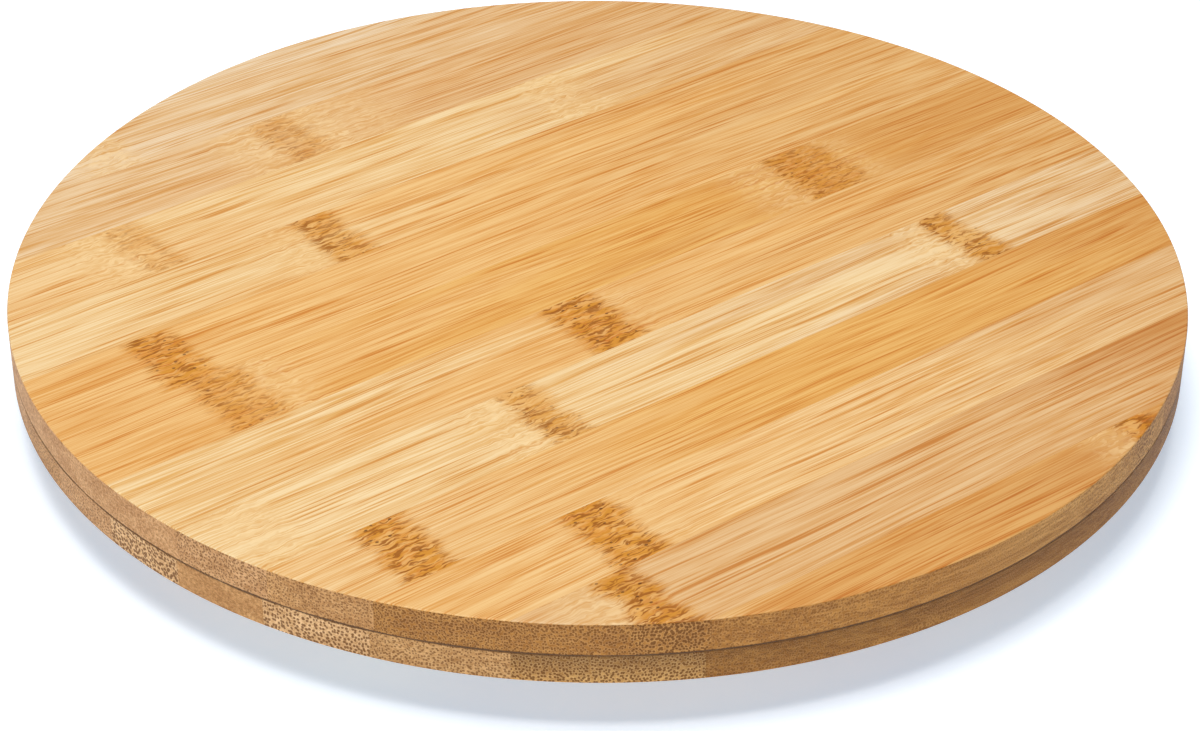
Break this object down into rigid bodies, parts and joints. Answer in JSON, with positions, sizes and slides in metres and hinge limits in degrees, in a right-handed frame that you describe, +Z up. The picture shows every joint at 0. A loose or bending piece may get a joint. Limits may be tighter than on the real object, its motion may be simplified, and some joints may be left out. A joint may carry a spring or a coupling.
{
  "type": "lazy susan turntable",
  "caption": "Round two-ply bamboo board that spins freely on a low, flat aluminium ring bearing standing on rubber feet.",
  "frame": {"origin": "on the turning axis, at the plane of the feet's undersides", "axes": "+Z up along the turning axis; +X along the grain of the board"},
  "size_m": [0.3, 0.3, 0.0286],
  "materials": {
    "bamboo_face": "satin lacquered bamboo, golden strips",
    "bamboo_underside": "satin lacquered bamboo, plainer strips",
    "aluminium": "turned and satin anodised",
    "cage_nylon": "natural nylon",
    "ball_steel": "polished bearing steel",
    "zinc_plated_steel": "bright zinc plated",
    "foot_rubber": "matt black moulded rubber"
  },
  "bodies": {
    "base": {"bearing_inner_ring": "aluminium", "rubber_foot_1": "foot_rubber", "rubber_foot_2": "foot_rubber", "rubber_foot_3": "foot_rubber", "rubber_foot_4": "foot_rubber", "rubber_foot_5": "foot_rubber", "rubber_foot_6": "foot_rubber"},
    "tray": {"upper_ply": "bamboo_face", "lower_ply": "bamboo_underside", "bearing_outer_ring": "aluminium", "ball_fill_plug": "zinc_plated_steel", "board_screw_1": "zinc_plated_steel", "board_screw_2": "zinc_plated_steel", "board_screw_3": "zinc_plated_steel", "board_screw_4": "zinc_plated_steel", "board_screw_5": "zinc_plated_steel", "board_screw_6": "zinc_plated_steel"},
    "cage": {"ball_cage": "cage_nylon", "ball_01": "ball_steel", "ball_02": "ball_steel", "ball_03": "ball_steel", "ball_04": "ball_steel", "ball_05": "ball_steel", "ball_06": "ball_steel", "ball_07": "ball_steel", "ball_08": "ball_steel", "ball_09": "ball_steel", "ball_10": "ball_steel", "ball_11": "ball_steel", "ball_12": "ball_steel", "ball_13": "ball_steel", "ball_14": "ball_steel", "ball_15": "ball_steel", "ball_16": "ball_steel", "ball_17": "ball_steel", "ball_18": "ball_steel", "ball_19": "ball_steel", "ball_20": "ball_steel", "ball_21": "ball_steel", "ball_22": "ball_steel", "ball_23": "ball_steel", "ball_24": "ball_steel"}
  },
  "joints": [
    {"name": "tray_spin", "type": "hinge", "parent": "base", "child": "tray", "pos_m": [0, 0, 0.0076], "axis": [0, 0, 1], "continuous": true},
    {"name": "cage_orbit", "type": "hinge", "parent": "base", "child": "cage", "pos_m": [0, 0, 0.0076], "axis": [0, 0, 1], "continuous": true}
  ],
  "couplings": [
    {"joint": "cage_orbit", "follows": "tray_spin", "ratio": 0.51}
  ]
}
